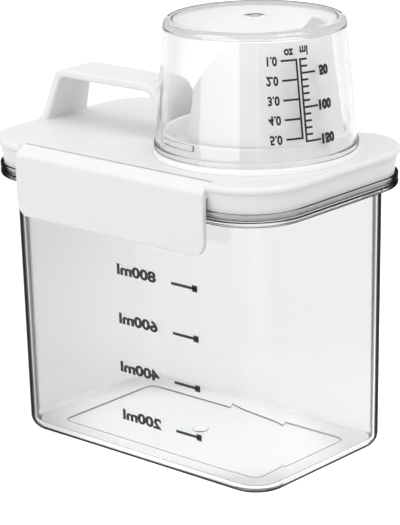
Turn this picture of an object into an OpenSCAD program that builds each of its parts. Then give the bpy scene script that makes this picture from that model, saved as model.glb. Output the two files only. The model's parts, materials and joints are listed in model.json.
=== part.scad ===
// Clear detergent box with a clip-down pouring lid and a measuring cup for its cap.
// Millimetres, +Z up. The box stands on z = 0 with its middle over the origin.
// The cup is towards +X, the handle towards -X, and a latch hangs on each long side.

/* [Box] */
// Outer length of the box just under its rim
box_l = 134; // [128:1:170]
// Outer width of the box just under its rim
box_w = 84.5; // [82:0.5:120]
// Height of the box from the table to the underside of its rim
box_h = 108; // [70:1:180]
// Plan radius of the upright corners, just under the rim
box_r = 15.5; // [12:0.5:18]
// Thickness of the walls and of the rim's ledge
wall = 2; // [1.4:0.1:2.6]
// Thickness of the floor
floor_t = 2.4; // [1.8:0.1:4]
// How far each wall leans in from the rim to the foot
draft = 1.4; // [0.4:0.1:2.4]
// Radius of the edge where the walls turn into the floor
foot_r = 5; // [3.5:0.25:6.5]
// Width of the ring that the box stands on, round the recess under its floor
foot_ring = 10; // [7:0.5:16]
// Depth of the recess under the floor
foot_recess = 0.8; // [0.4:0.1:1.2]

/* [Rim] */
// How far the rim stands out from the walls
rim_out = 7; // [6.5:0.25:9]
// Height of the rim from its underside to its lip
rim_h = 5; // [4.5:0.25:7]
// Thickness of the rim's upright lip
rim_wall = 1.6; // [1.2:0.1:2]
// Plan radius of the rim's corners
rim_r = 24; // [20:0.5:25]
// Depth of the groove that runs round the rim
rim_groove = 0.7; // [0.3:0.05:0.9]
// Height of that groove
rim_groove_h = 0.9; // [0.5:0.1:1.4]

/* [Lid] */
// Height of the lid above the lip of the rim
lid_rise = 10.3; // [9.5:0.1:16]
// Thickness of the lid's rounded edge
lip_t = 3; // [2.6:0.1:4]
// How far the rounded edge stands out past the rim
lip_out = 1; // [0.6:0.1:1.6]
// How far the rounded edge overhangs the skirt under it
lip_over = 1.4; // [0.8:0.1:1.8]
// Thickness of the lid's top
lid_t = 2.4; // [2:0.1:2.6]
// Thickness of the skirt at its foot
skirt_t = 1.6; // [1.2:0.1:2]
// Thickness of the inner wall that plugs the mouth of the box
plug_t = 1.4; // [1:0.1:1.6]
// Height of the silicone seal
seal_h = 3; // [2.4:0.1:3.4]
// Height of the seal that stands out below the skirt
seal_proud = 1.4; // [0.8:0.1:1.6]
// Width of the step that the seal is pushed up against
seal_step = 0.8; // [0.5:0.1:1]

/* [Handle] */
// Width of the handle's strap
handle_w = 20; // [14:1:24]
// Width of the outer post where it meets the lid
post_w = 25; // [24:0.5:30]
// Thickness of the strap
handle_t = 3.4; // [2.6:0.1:4.4]
// Radius of the strap's long edges
strap_edge = 1.2; // [0.6:0.1:1.3]
// Height of the top of the handle above the lid
handle_h = 21.4; // [18:0.2:30]
// How far the outer post leans in from its foot to its top
handle_lean = 7; // [3:0.5:12]
// Distance from the end of the lid to the foot of the outer post
handle_end = 1; // [0.8:0.1:3]
// Gap between the inner post and the cup's flange
handle_gap = 1.2; // [0.8:0.1:3]
// Bend radius at the outer post, along the middle of the strap
bend_out = 5; // [3.5:0.5:7]
// Bend radius at the inner post, along the middle of the strap
bend_in = 8; // [5:0.5:10]

/* [Latches] */
// Distance from each end of the lid to the end of a latch
latch_end = 26.5; // [26:0.5:36]
// Thickness of a latch's plate
latch_t = 2; // [1.6:0.1:2.6]
// How far a latch hangs below the underside of the rim
latch_drop = 12.6; // [8:0.2:18]
// Radius of a latch's lower corners
latch_r = 6; // [3:0.5:8]
// Degrees that a latch's shoulder slopes down from its barrel, so that it clears the lid as it swings up
shoulder_slope = 42; // [40:1:48]
// Radius of the edge between the shoulder and the outside of a latch
shoulder_r = 1.2; // [0.8:0.1:1.2]
// Distance from the outside of a latch in to its hinge axis
hinge_in = 5.1; // [4.8:0.1:5.6]
// Radius of the barrel along a latch's hinge
barrel_r = 2.7; // [2.4:0.1:2.9]
// Radius of the pins at the ends of the barrel
pin_r = 1.2; // [0.9:0.05:1.4]
// Length of those pins
pin_l = 3; // [2:0.25:4]
// How far the hook reaches in under the rim
hook_bite = 1.05; // [0.6:0.05:1.3]
// Distance from each end of a latch to the end of its hook
hook_end = 10; // [6:0.5:20]

/* [Spout and cup] */
// Distance from the cup's end of the lid to the middle of the cup
cup_end = 44; // [44:0.5:52]
// Outer radius of the cup's flange and of the seat under it
flange_r = 39.3; // [39:0.1:41]
// Height of the cup's flange
flange_h = 2.4; // [1.8:0.1:3.4]
// Outer radius of the cup's wall where it leaves the flange
mouth_r = 38.7; // [38:0.1:39]
// Outer radius that the cup's wall would reach at its closed end
crown_r = 34.7; // [34:0.1:37]
// Height of the cup
cup_h = 49.8; // [49:0.2:60]
// Radius of the edge round the cup's closed end
crown_edge = 4; // [2.8:0.1:6]
// Wall thickness of the cup
cup_t = 1.8; // [1.2:0.1:2.2]
// Height of the grip pads inside the cup's mouth
pad_h = 2.5; // [1.5:0.1:3.5]
// Height of the grip pads above the cup's rim
pad_up = 4.4; // [3:0.1:5]
// Height of the seat that the cup stands on
seat_h = 2.3; // [1.6:0.1:3]
// Outer radius of the neck inside the cup's mouth
neck_r = 35.7; // [35.5:0.1:35.9]
// Height of the neck above the seat
neck_h = 6.9; // [5.5:0.1:9]
// Wall thickness of the neck and the spout
spout_t = 1.8; // [1.4:0.1:2.4]
// How far the spout stands off the cup's middle, away from the handle
spout_off = 5; // [3.5:0.5:5]
// Outer radius of the spout at its foot
spout_r = 30.4; // [28:0.2:30.6]
// Outer radius of the spout at its tip
tip_r = 24.4; // [21:0.2:25]
// Height of the spout's tip above the seat
spout_h = 45.4; // [38:0.2:46]
// Distance from the spout's middle towards its tip to the start of its slanted cut
slant_from = 5; // [0:0.5:12]
// Degrees that the cut slopes down from there
spout_slant = 43; // [20:1:45]
// Outer radius of the tube that plugs the spout into the lid
tube_r = 26.6; // [24:0.1:27]
// Thickness of that tube
tube_t = 1.6; // [1.2:0.1:2.2]
// How far the tube reaches below the lid's top
tube_drop = 1.2; // [0.6:0.1:3]

/* [Fits] */
// Gap between the lid's skirt and the lip of the rim
skirt_gap = 0.4; // [0.3:0.05:0.6]
// Gap between the lid's plug and the mouth of the box
plug_gap = 0.6; // [0.4:0.05:0.9]
// Height of the plug's foot above the underside of the rim
plug_up = 0.6; // [0.3:0.1:1.5]
// Gap between a latch and the outside of the rim
latch_gap = 0.35; // [0.3:0.05:0.5]
// Gap round a latch's barrel and at its ends
barrel_gap = 0.3; // [0.25:0.05:0.45]
// Gap round the hinge pins
pin_gap = 0.06; // [0.04:0.01:0.1]
// Gap between the hook and the underside of the rim
hook_gap = 0.3; // [0.28:0.02:0.5]
// Gap round the spout's tube in the lid, and round the seal in its groove
push_gap = 0.1; // [0.05:0.05:0.2]
// Gap between the cup's pads and the neck
pad_gap = 0.15; // [0.1:0.05:0.3]
// Gap between the cup's rim and its seat
seat_gap = 0.1; // [0.05:0.05:0.3]

/* [Hidden] */
$fn = 96;

skin = 0.01;         // thickness of the sheets that a hull is stretched over
over = 1;            // how far a cut runs past the face that it opens
edge_fn = 40;        // facets round the corners of a hull
round_steps = 4;     // steps along a rounded edge of a hull
arc_steps = 10;      // steps along a rounded edge of a turned profile
pad_turn = 27;       // degrees of the cup's wall that one grip pad covers
pad_from = -116;     // degrees from +X to the start of the first grip pad
ear_t = 1;           // plastic left at the blind end of a pin hole
hook_nose = 0.6;     // height of the hook's upright nose
hook_slope = 4;      // height of the slope under the nose

// Heights
ledge_z = box_h + wall;
rim_z = box_h + rim_h;
lid_z = rim_z + lid_rise;
skirt_z = ledge_z + seal_proud;
seal_z = ledge_z + seal_h;
roof_z = lid_z - lid_t;
deck_z = lid_z + seat_h;
cup_z = deck_z + seat_gap;

// Plan sizes, as length, width and corner radius
function shrunk(size, by) = [size[0] - 2*by, size[1] - 2*by, size[2] - by];
box_top = [box_l, box_w, box_r];
rim_size = shrunk(box_top, -rim_out);
rim = [rim_size[0], rim_size[1], rim_r];
lip = shrunk(rim, -lip_out);
skirt_foot = shrunk(rim, rim_wall + skirt_gap);
skirt_head = shrunk(lip, lip_over);
mouth = shrunk(box_top, wall);
plug = shrunk(mouth, plug_gap);
seal_out = shrunk(skirt_foot, skirt_t);

// Places
cup_x = lip[0]/2 - cup_end;
spout_x = cup_x + spout_off;
latch_y = rim[1]/2 + latch_gap + latch_t;
hinge_y = latch_y - hinge_in;
hinge_z = lid_z - barrel_r;
latch_l = lip[0] - 2*latch_end;
channel_l = latch_l + 2*barrel_gap;
ear_l = pin_l + 2*barrel_gap + ear_t;
beam_l = channel_l + 2*ear_l;

// A rounded rectangle of the given length, width and corner radius
module slab(size) {
    square([size[0] - 2*size[2], size[1]], center = true);
    square([size[0], size[1] - 2*size[2]], center = true);
    for (x = [-1, 1], y = [-1, 1])
        translate([x*(size[0]/2 - size[2]), y*(size[1]/2 - size[2])]) circle(size[2]);
}

// A straight prism of a rounded rectangle between two heights
module prism(size, from, to) {
    translate([0, 0, from]) linear_extrude(to - from) slab(size);
}

// One thin sheet for a hull
module sheet(size, z) {
    translate([0, 0, z]) linear_extrude(skin) slab(size, $fn = edge_fn);
}

// A straight ring between two rounded rectangles
module ring(outer, inner, from, to) {
    translate([0, 0, from]) linear_extrude(to - from) difference() {
        slab(outer);
        slab(inner);
    }
}

// The leaning, round-footed form of the box, inset by a wall, from the given floor to the given top
module box_form(inset, bottom, top, radius) {
    function lean(z) = draft*(1 - z/box_h);
    hull() {
        for (i = [0:round_steps]) {
            turn = 90*i/round_steps;
            z = bottom + radius*(1 - cos(turn));
            sheet(shrunk(box_top, inset + lean(z) + radius*(1 - sin(turn))), z);
        }
        sheet(shrunk(box_top, inset), top - skin);
    }
}

module container() {
    groove_z = box_h + (rim_h - rim_groove_h)/2;
    color([0.93, 0.95, 0.96, 0.35]) difference() {
        union() {
            box_form(0, 0, ledge_z, foot_r);
            prism(rim, box_h, ledge_z);
            ring(rim, shrunk(rim, rim_wall), box_h, rim_z);
        }
        box_form(wall, floor_t, ledge_z + over, foot_r - wall);
        prism(shrunk(box_top, draft + foot_ring), -over, foot_recess);
        ring(shrunk(rim, -over), shrunk(rim, rim_groove), groove_z, groove_z + rim_groove_h);
    }
}

// The lid's top with its rounded edge
module lid_top() {
    edge = lip_t/2;
    hull() for (i = [-round_steps:round_steps]) {
        turn = 90*i/round_steps;
        sheet(shrunk(lip, edge*(1 - cos(turn))), lid_z - edge + (edge - skin/2)*sin(turn) - skin/2);
    }
}

module lid_skirt() {
    hull() {
        sheet(skirt_foot, skirt_z);
        sheet(skirt_head, lid_z - lip_t);
    }
}

// Everything hollow on the underside of the lid
module lid_hollows() {
    prism(shrunk(plug, plug_t), box_h, roof_z);
    ring(seal_out, plug, box_h, seal_z);
    difference() {
        ring(shrunk(seal_out, seal_step), shrunk(plug, -seal_step), seal_z - over, roof_z);
        for (side = [-1, 1])
            translate([-beam_l/2, side*lip[1]/2 - lip[1]/4, box_h]) cube([beam_l, lip[1]/2, lid_z - box_h]);
    }
}

// The channel that a latch's barrel turns in, with the pin holes in the ears at its ends
module hinge_channel(side) {
    room = barrel_r + barrel_gap;
    translate([0, side*hinge_y, hinge_z]) {
        rotate([0, 90, 0]) cylinder(r = room, h = channel_l, center = true);
        rotate([0, 90, 0]) cylinder(r = pin_r + pin_gap, h = latch_l + 2*(pin_l + barrel_gap), center = true);
        translate([-channel_l/2, side > 0 ? 0 : -hinge_in - over, -room])
            cube([channel_l, hinge_in + over, room + barrel_r + over]);
    }
}

// The strap's section, across Y and through its thickness
module strap_section() {
    slab([handle_w, handle_t, strap_edge]);
}

// A straight run of strap in the plane y = 0, between two points given as [x, z]
module strap_run(from, to) {
    step = to - from;
    translate([from[0], 0, from[1]]) rotate([0, atan2(step[0], step[1]), 0])
        linear_extrude(norm(step)) rotate(90) strap_section();
}

// A bend of strap about [x, z], from one angle to another, measured from +X towards +Z
module strap_bend(middle, radius, from, to) {
    translate([middle[0], 0, middle[1]]) rotate([90, 0, 0]) rotate([0, 0, from])
        rotate_extrude(angle = to - from) translate([radius, 0]) rotate(90) strap_section();
}

// A straight run of strap that is wider at its foot, between two points given as [x, z]
module strap_post(from, to) {
    step = to - from;
    translate([from[0], 0, from[1]]) rotate([0, atan2(step[0], step[1]), 0]) rotate(90) hull() {
        sheet([post_w, handle_t, strap_edge], 0);
        sheet([handle_w, handle_t, strap_edge], norm(step) - skin);
    }
}

// The handle: a leaning outer post that widens to its foot, a flat bar and an upright inner post
module handle() {
    foot_z = lid_z - lid_t/2;
    bar_z = lid_z + handle_h - handle_t/2;
    slope = atan2(handle_lean, handle_h);
    outer_x = -lip[0]/2 + handle_end + handle_t/2/cos(slope);
    inner_x = cup_x - flange_r - handle_gap - handle_t/2;
    // The outer post's middle line crosses the bar's at this x
    corner_x = outer_x + (bar_z - lid_z)*tan(slope);
    reach = bend_out*tan((90 - slope)/2);
    bend_x = corner_x + reach;
    foot = [outer_x - (lid_z - foot_z)*tan(slope), foot_z];
    post_top = [corner_x - reach*sin(slope), bar_z - reach*cos(slope)];
    strap_post(foot, post_top);
    strap_bend([bend_x, bar_z - bend_out], bend_out, 90, 180 - slope);
    strap_run([bend_x, bar_z], [inner_x - bend_in, bar_z]);
    strap_bend([inner_x - bend_in, bar_z - bend_in], bend_in, 0, 90);
    strap_run([inner_x, foot_z], [inner_x, bar_z - bend_in]);
}

module lid() {
    color([0.95, 0.95, 0.95]) difference() {
        union() {
            difference() {
                union() {
                    lid_top();
                    lid_skirt();
                    prism(plug, box_h + plug_up, lid_z - lip_t/2);
                }
                lid_hollows();
            }
            handle();
        }
        translate([spout_x, 0, roof_z - over]) cylinder(r = tube_r + push_gap, h = lid_t + 2*over);
        for (side = [-1, 1]) hinge_channel(side);
    }
}

module lid_seal() {
    color([0.88, 0.9, 0.9])
        ring(shrunk(seal_out, push_gap), shrunk(plug, -push_gap), ledge_z, seal_z);
}

// A latch's section across the hinge: x is outwards and y is up, from the hinge axis
module latch_section() {
    inner = hinge_in - latch_t;
    bottom = box_h - latch_drop - hinge_z;
    // The shoulder's own direction, square to its slope, and the middle of its rounded edge
    square_to = [sin(shoulder_slope), cos(shoulder_slope)];
    edge_x = hinge_in - shoulder_r;
    edge = [edge_x, (barrel_r - shoulder_r - edge_x*square_to[0])/square_to[1]];
    circle(barrel_r);
    translate(edge) circle(shoulder_r);
    polygon([[0, -barrel_r], [0, 0], barrel_r*square_to, edge + shoulder_r*square_to, edge,
        [hinge_in, edge[1]], [hinge_in, bottom], [inner, bottom], [inner, -barrel_r]]);
}

// The hook's section, on the inside of the plate and just under the rim
module hook_section() {
    inner = hinge_in - latch_t;
    tip = inner - latch_gap - hook_bite;
    top = box_h - hook_gap - hinge_z;
    root = inner + latch_t/2;
    polygon([[root, top], [tip, top], [tip, top - hook_nose], [root, top - hook_nose - hook_slope]]);
}

// The face of a latch, with its lower corners rounded
module latch_face() {
    bottom = box_h - latch_drop;
    translate([-latch_l/2, bottom + latch_r]) square([latch_l, lid_z - bottom]);
    translate([latch_r - latch_l/2, bottom]) square([latch_l - 2*latch_r, 2*latch_r]);
    for (x = [-1, 1]) translate([x*(latch_l/2 - latch_r), bottom + latch_r]) circle(latch_r);
}

// A latch for the front, at -Y
module latch() {
    turned = [90, 0, -90];
    translate([0, -hinge_y, hinge_z]) {
        rotate([0, 90, 0]) cylinder(r = pin_r, h = latch_l + 2*pin_l, center = true);
        rotate(turned) linear_extrude(latch_l - 2*hook_end, center = true) hook_section();
    }
    intersection() {
        translate([0, -hinge_y, hinge_z]) rotate(turned)
            linear_extrude(latch_l + 2*over, center = true) latch_section();
        rotate([90, 0, 0]) linear_extrude(lip[1]) latch_face();
    }
}

module front_latch() {
    color([0.95, 0.95, 0.95]) latch();
}

module rear_latch() {
    color([0.95, 0.95, 0.95]) mirror([0, 1, 0]) latch();
}

// Seat, neck, slant-cut spout and the tube that plugs into the lid, in one moulding
module pour_spout() {
    color([0.95, 0.95, 0.95]) difference() {
        union() {
            translate([cup_x, 0, lid_z]) cylinder(r = flange_r, h = seat_h);
            translate([spout_x, 0, roof_z - tube_drop]) cylinder(r = tube_r, h = lid_t + tube_drop + seat_h/2);
            translate([cup_x, 0, deck_z - seat_h/2]) difference() {
                cylinder(r = neck_r, h = seat_h/2 + neck_h);
                translate([0, 0, seat_h/2]) cylinder(r = neck_r - spout_t, h = neck_h + over);
            }
            translate([spout_x, 0, deck_z - seat_h/2]) difference() {
                cylinder(r1 = spout_r, r2 = tip_r, h = spout_h + seat_h/2);
                translate([slant_from, 0, spout_h + seat_h/2]) rotate([0, -spout_slant, 0])
                    translate([-4*spout_r, -2*spout_r, 0]) cube([4*spout_r, 4*spout_r, 2*spout_h]);
            }
        }
        translate([spout_x, 0, deck_z]) cylinder(r1 = spout_r - spout_t, r2 = tip_r - spout_t, h = spout_h + skin);
        translate([spout_x, 0, roof_z - tube_drop - over])
            cylinder(r = tube_r - tube_t, h = lid_t + tube_drop + seat_h + 2*over);
    }
}

// Half of the cup's section: x is the radius and y is the height above its rim
module cup_section() {
    lean = atan2(mouth_r - crown_r, cup_h - flange_h);
    function wall_r(y) = mouth_r - (y - flange_h)*tan(lean);
    // A rounded inside or outside edge at the closed end, for a skin so far in from the outside
    function edge(inset, drop) = let (r = crown_edge - inset, y = cup_h - drop - r)
        [for (i = [0:arc_steps]) let (t = lean + (90 - lean)*i/arc_steps)
            [wall_r(y) - inset - r/cos(lean) + r*cos(t), y + r*sin(t)]];
    inside = edge(cup_t, cup_t);
    polygon(concat(
        [[wall_r(0) - cup_t, 0], [flange_r, 0], [flange_r, flange_h], [mouth_r, flange_h]],
        edge(0, 0),
        [[0, cup_h], [0, cup_h - cup_t]],
        [for (i = [arc_steps:-1:0]) inside[i]]));
}

module measuring_cup() {
    pad_r = neck_r + pad_gap;
    color([0.93, 0.95, 0.96, 0.35]) translate([cup_x, 0, cup_z]) {
        rotate_extrude() cup_section();
        for (turn = [0, 180]) rotate([0, 0, pad_from + turn]) rotate_extrude(angle = pad_turn)
            translate([pad_r, pad_up]) square([mouth_r - cup_t/2 - pad_r, pad_h]);
    }
}

container();
lid();
lid_seal();
pour_spout();
front_latch();
rear_latch();
measuring_cup();
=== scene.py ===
"""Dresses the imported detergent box: clear box and cup, white lid, spout and latches, prints and stage."""

import json
import math

import bmesh
import bpy
from bpy.props import BoolProperty, FloatProperty, FloatVectorProperty, PointerProperty
from mathutils import Matrix, Vector


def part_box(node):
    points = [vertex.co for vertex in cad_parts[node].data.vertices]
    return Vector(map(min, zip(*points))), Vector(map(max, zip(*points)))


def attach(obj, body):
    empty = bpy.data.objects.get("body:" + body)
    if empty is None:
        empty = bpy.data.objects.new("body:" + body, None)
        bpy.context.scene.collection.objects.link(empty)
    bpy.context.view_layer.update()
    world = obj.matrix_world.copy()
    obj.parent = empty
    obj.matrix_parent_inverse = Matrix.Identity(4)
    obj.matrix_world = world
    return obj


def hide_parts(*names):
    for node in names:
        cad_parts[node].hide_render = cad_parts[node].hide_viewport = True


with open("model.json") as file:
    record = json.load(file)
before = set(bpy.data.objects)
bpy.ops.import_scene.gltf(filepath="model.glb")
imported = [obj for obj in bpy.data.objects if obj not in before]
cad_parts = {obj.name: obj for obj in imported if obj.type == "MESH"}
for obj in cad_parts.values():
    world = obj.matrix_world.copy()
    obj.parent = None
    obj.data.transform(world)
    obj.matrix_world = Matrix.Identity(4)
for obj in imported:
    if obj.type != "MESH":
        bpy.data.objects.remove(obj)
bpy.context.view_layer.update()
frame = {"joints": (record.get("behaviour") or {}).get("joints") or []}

bl_info = {
    "name": "Detergent dispenser",
    "version": (1, 0, 0),
    "blender": (4, 5, 0),
    "location": "View3D > Sidebar > Dispenser",
    "description": "Builds the looks of a clear detergent box with a pouring lid and a measuring cup",
    "category": "Object",
}

# Shared values
MM = 0.001
RIGHT_ANGLE = math.pi / 2
HALF_TURN = math.pi
CORNER_STEPS = 16
ARC_STEPS = 5
LATHE_STEPS = 144
HOLE_STEPS = 48
PIN_STEPS = 36
BEVEL_STEPS = 3
LETTER_STEPS = 4
LEAST_TURN = 1e-5
MERGE = 1e-7
OVER = 1 * MM
LEAST_CORNER = 4 * MM
SHARP = math.radians(38)
LIP_ROUND = 0.48
PHOTO_LONG_SIDE = 36

# How much painted edge shade each part of the clear pieces takes, and how upright a normal is from where it
# starts to where it is full
EDGE_SHADE_ATTRIBUTE = "turned"
STEP_SHADE_SHARE = 3
RIM_SHARE = 1
CORNER_SHARE = 0.88
CUP_SHARE = 0.6
CORNER_TURN = 0.3
FOOT_LEVELS = (0.2, 0.4)
FLOOR_LEVELS = (1, 0.95)
WALL_LEVELS = (0.6, 0.4)
CUP_LEVELS = (0.3, 0.12)

# Looks of clear plastic by the share of a full graze, with the painted edge shade's gain at each stop
CLEAR_IOR = 1.5
EDGE_IOR = 1.03
BEND_FROM = 0.46
BEND_TO = 0.6
CLEAR_UNTIL = 0.43
EDGE_SHADE_STOPS = ((0.48, 60), (0.54, 12), (0.62, 1))
EDGE_SHADE_LAST = 0.125

# Sockets of a colour Mix node
MIX_A = 6
MIX_B = 7
MIX_RESULT = 2

# Lettering
CAP_SHARE = 0.72
BOLD_SHARE = 0.055
BOX_BOLD = 1.1 * BOLD_SHARE
ML_BOLD = 2 * BOLD_SHARE

# Stage, with each lamp's name, width and height, place and aim
FLOOR_HALF = 6
FLOOR_GAP = 0.05 * MM
FLOOR_GLOW = 0.57
# Painted light on the floor: a band of extra glow towards its right and a brighter pool under the box
FLOOR_PAINTED_BAND = 0.48
FLOOR_PAINTED_POOL = 1.6
ACROSS_PICTURE = (0.75, 0.66, 0)
WORLD_LOW = 0.72
WORLD_HIGH = 0.78
MIDDLE = (0, 0, 0.09)
LAMPS = (
    ("key", (0.9, 0.9), (-0.5, -0.45, 1.1), MIDDLE),
    ("front", (0.95, 0.3), (-0.03, -1.05, 0.16), (-0.03, 0, 0.16)),
    ("brow", (0.7, 0.4), (-0.1, -0.85, 0.75), MIDDLE),
    ("top", (1.6, 1.6), (0, 0.1, 1.4), MIDDLE),
    ("fill", (0.6, 0.6), (0.7, 0.1, 1.0), MIDDLE),
)

# Places that come from the frame
BOX_LOW, BOX_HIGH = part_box("container")
LID_LOW, LID_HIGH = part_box("lid")
SEAL_LOW, SEAL_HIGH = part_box("lid_seal")
SPOUT_LOW, SPOUT_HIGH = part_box("pour_spout")
CUP_LOW, CUP_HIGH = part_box("measuring_cup")
LATCH_LOW, LATCH_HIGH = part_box("front_latch")
HINGE = Vector(next(joint["pos_m"] for joint in frame["joints"] if joint["name"] == "front_latch_hinge"))
CUP_X = (CUP_LOW.x + CUP_HIGH.x) / 2


def linear(hex_colour):
    """The linear colour of an sRGB hex value such as F4F4F2, by the sRGB standard's own numbers."""
    shares = [int(hex_colour[at:at + 2], 16) / 255 for at in (0, 2, 4)]
    return [share / 12.92 if share <= 0.04045 else ((share + 0.055) / 1.055) ** 2.4 for share in shares]


def size(name, description, millimetres):
    """A length that the user can change, kept in metres."""
    return FloatProperty(name=name, description=description, default=millimetres * MM, unit="LENGTH",
                         precision=5)


def angle(name, description, degrees):
    """An angle that the user can change, kept in radians."""
    return FloatProperty(name=name, description=description, default=math.radians(degrees), unit="ROTATION")


def colour(name, description, hex_colour):
    """A colour that the user can change, kept as linear values."""
    return FloatVectorProperty(name=name, description=description, default=linear(hex_colour),
                               subtype="COLOR", min=0, max=1)


def power(name, description, watts):
    """The power of a lamp in watts."""
    return FloatProperty(name=name, description=description, default=watts, min=0, unit="POWER")


def factor(name, description, share):
    """A plain number that the user can change."""
    return FloatProperty(name=name, description=description, default=share)


# Sizes and colours
class DispenserBox(bpy.types.PropertyGroup):
    """Sizes of the clear box and its rim."""

    wall: size("Wall", "Thickness of the walls and of the rim's ledge", 2.0)
    floor: size("Floor", "Thickness of the floor", 2.4)
    lean: size("Lean", "How far each wall leans in from the rim to the foot", 1.4)
    corner: size("Corner", "Plan radius of the upright corners under the rim", 15.5)
    foot: size("Foot", "Radius of the edge between the walls and the floor", 5.0)
    foot_ring: size("Foot ring", "Width of the ring that the box stands on", 14.0)
    recess: size("Recess", "Depth of the recess under the floor", 0.8)
    rim_out: size("Rim reach", "How far the rim stands out from the walls", 7.0)
    rim_height: size("Rim height", "Height of the rim from its underside to its lip", 5.0)
    rim_wall: size("Rim wall", "Thickness of the rim's upright lip", 1.6)
    rim_corner: size("Rim corner", "Plan radius of the rim's corners", 24.0)
    groove: size("Groove depth", "Depth of the groove round the rim", 0.7)
    groove_height: size("Groove height", "Height of the groove round the rim", 0.9)
    edge: size("Edge", "Radius of the rim's small edges", 0.45)
    gate: size("Gate", "Radius of the gate mark under the floor", 3.2)
    gate_height: size("Gate height", "Height of the gate mark under the floor", 0.35)


class DispenserLid(bpy.types.PropertyGroup):
    """Sizes of the lid and its handle."""

    lip: size("Lip", "Thickness of the lid's rounded edge", 3.0)
    lip_over: size("Lip overhang", "How far the rounded edge overhangs the skirt", 1.4)
    top: size("Top", "Thickness of the lid's top", 2.4)
    skirt: size("Skirt", "Thickness of the skirt at its foot", 1.6)
    skirt_gap: size("Skirt gap", "Gap between the skirt and the lip of the rim", 0.4)
    seal_proud: size("Seal below skirt", "Height of the seal that stands out below the skirt", 1.4)
    plug: size("Plug", "Thickness of the inner wall that plugs the mouth of the box", 1.4)
    plug_gap: size("Plug gap", "Gap between the plug and the mouth of the box", 0.6)
    edge: size("Edge", "Radius of the small edges under the lid", 0.4)
    handle_width: size("Handle width", "Width of the handle's strap", 20.0)
    post_width: size("Post width", "Width of the outer post where it meets the lid", 25.0)
    handle: size("Handle", "Thickness of the handle's strap", 3.4)
    strap_edge: size("Strap edge", "Radius of the strap's long edges", 1.3)
    handle_lean: size("Handle lean", "How far the outer post leans in from its foot to its top", 7.0)
    handle_end: size("Handle end", "Distance from the end of the lid to the foot of the outer post", 1.0)
    handle_gap: size("Handle gap", "Gap between the inner post and the cup's flange", 1.2)
    bend_out: size("Outer bend", "Bend radius at the outer post", 5.0)
    bend_in: size("Inner bend", "Bend radius at the inner post", 8.0)
    flare: size("Flare", "Radius of the fillet where the posts meet the lid", 0.8)


class DispenserLatch(bpy.types.PropertyGroup):
    """Sizes of the two latches."""

    plate: size("Plate", "Thickness of a latch's plate", 2.0)
    barrel: size("Barrel", "Radius of the barrel along the hinge", 2.7)
    barrel_gap: size("Barrel gap", "Gap round the barrel in the lid's channel", 0.02)
    slope: angle("Shoulder slope", "How steeply the shoulder falls from the barrel", 42)
    shoulder: size("Shoulder edge", "Radius of the edge between the shoulder and the outside", 3.0)
    corner: size("Corner", "Radius of the lower corners", 6.0)
    pin: size("Pin", "Radius of the hinge pins", 1.2)
    pin_length: size("Pin length", "Length of the hinge pins", 3.0)
    pin_gap: size("Pin gap", "Gap round the hinge pins", 0.06)
    rim_gap: size("Rim gap", "Gap between a latch and the outside of the rim", 0.35)
    hook_gap: size("Hook gap", "Gap between the hook and the underside of the rim", 0.3)
    hook_bite: size("Hook bite", "How far the hook reaches in under the rim", 1.05)
    hook_end: size("Hook end", "Distance from each end of a latch to the end of its hook", 10.0)
    hook_nose: size("Hook nose", "Height of the hook's upright nose", 0.6)
    hook_slope: size("Hook slope", "Height of the slope under the hook's nose", 4.0)
    edge: size("Edge", "Width of the softened edges", 0.8)


class DispenserSpout(bpy.types.PropertyGroup):
    """Sizes of the pouring insert."""

    seat: size("Seat", "Height of the seat that the cup stands on", 2.3)
    neck: size("Neck", "Outer radius of the neck inside the cup's mouth", 35.7)
    neck_height: size("Neck height", "Height of the neck above the seat", 6.9)
    wall: size("Wall", "Wall thickness of the neck and the spout", 1.8)
    offset: size("Offset", "How far the spout stands off the cup's middle", 5.0)
    foot: size("Foot", "Outer radius of the spout at its foot", 30.4)
    tip: size("Tip", "Outer radius of the spout at its tip", 24.4)
    slant_from: size("Slant start", "Distance from the spout's middle to the start of its slanted cut", 5.0)
    slant: angle("Slant", "How steeply the cut falls from there", 43)
    tube: size("Tube", "Outer radius of the tube that plugs into the lid", 26.6)
    tube_wall: size("Tube wall", "Thickness of that tube", 1.6)
    tube_gap: size("Tube gap", "Gap round the tube in the lid", 0.1)
    edge: size("Edge", "Radius of the small edges", 0.5)


class DispenserCup(bpy.types.PropertyGroup):
    """Sizes of the measuring cup."""

    flange: size("Flange", "Height of the flange round the mouth", 2.4)
    mouth: size("Mouth", "Outer radius of the wall where it leaves the flange", 38.7)
    crown: size("Crown", "Outer radius that the wall would reach at the closed end", 34.7)
    crown_edge: size("Crown edge", "Radius of the edge round the closed end", 2.5)
    inner_edge: size("Inner edge", "Radius of the edge inside the closed end", 2.8)
    wall: size("Wall", "Thickness of the wall", 1.8)
    edge: size("Edge", "Radius of the flange's small edges", 0.5)
    pad_up: size("Pad place", "Height of the grip pads above the mouth", 4.4)
    pad_height: size("Pad height", "Height of the grip pads", 2.5)
    pad_gap: size("Pad gap", "Gap between the grip pads and the neck", 0.15)
    pad_from: angle("Pad start", "Turn from +X to the start of the first grip pad", -116)
    pad_turn: angle("Pad turn", "Turn that one grip pad covers", 27)
    gate: size("Gate", "Radius of the gate mark on the closed end", 2.2)
    gate_depth: size("Gate depth", "Depth of the dimple round the gate mark", 0.1)


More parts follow.
